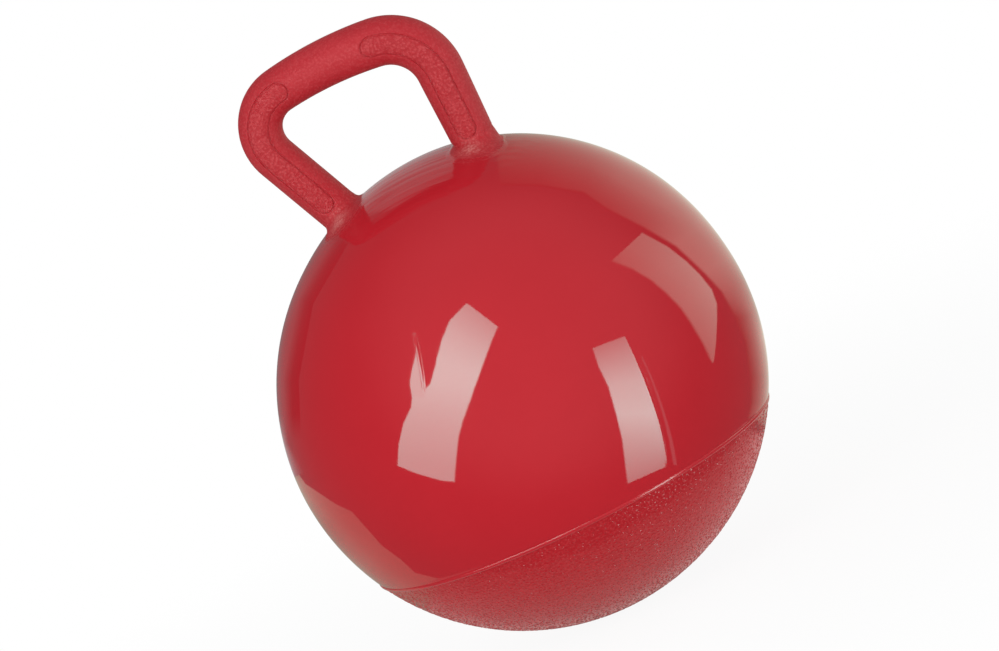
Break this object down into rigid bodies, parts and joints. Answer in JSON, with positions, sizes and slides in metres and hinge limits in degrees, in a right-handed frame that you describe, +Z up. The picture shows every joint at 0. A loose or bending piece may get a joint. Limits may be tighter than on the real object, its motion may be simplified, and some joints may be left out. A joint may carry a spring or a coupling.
{
  "type": "hopper ball",
  "caption": "Inflatable vinyl hopper ball with a smooth glossy dome, grained base, raised moulding seam, hollow hoop handle with grip panels and a stopper valve.",
  "frame": {"origin": "middle of the flat patch that the ball stands on, under the ball's middle", "axes": "+Z up through the ball, +X along the grip bar, -Y the front of the handle, +Y the side with the valve"},
  "size_m": [0.45, 0.4498, 0.5899],
  "materials": {
    "gloss_vinyl": "smooth glossy red vinyl, moulded against a polished mould",
    "grained_vinyl": "satin red vinyl with a moulded pebble grain",
    "matte_vinyl": "matte red vinyl, finely blasted",
    "grip_vinyl": "matte red vinyl with a coarse grip grain",
    "valve_vinyl": "soft red vinyl, satin",
    "plug_plastic": "off-white moulded stopper"
  },
  "bodies": {
    "ball": {"upper_shell": "gloss_vinyl", "base_shell": "grained_vinyl", "seam_bead": "gloss_vinyl", "handle_loop": "matte_vinyl", "front_left_grip": "grip_vinyl", "front_right_grip": "grip_vinyl", "rear_left_grip": "grip_vinyl", "rear_right_grip": "grip_vinyl", "valve_seat": "valve_vinyl"},
    "stopper": {"valve_plug": "plug_plastic"}
  },
  "joints": [
    {"name": "stopper_pull", "type": "slide", "parent": "ball", "child": "stopper", "axis": [0, 0.9397, 0.342], "range_m": [0, 0.03]}
  ]
}
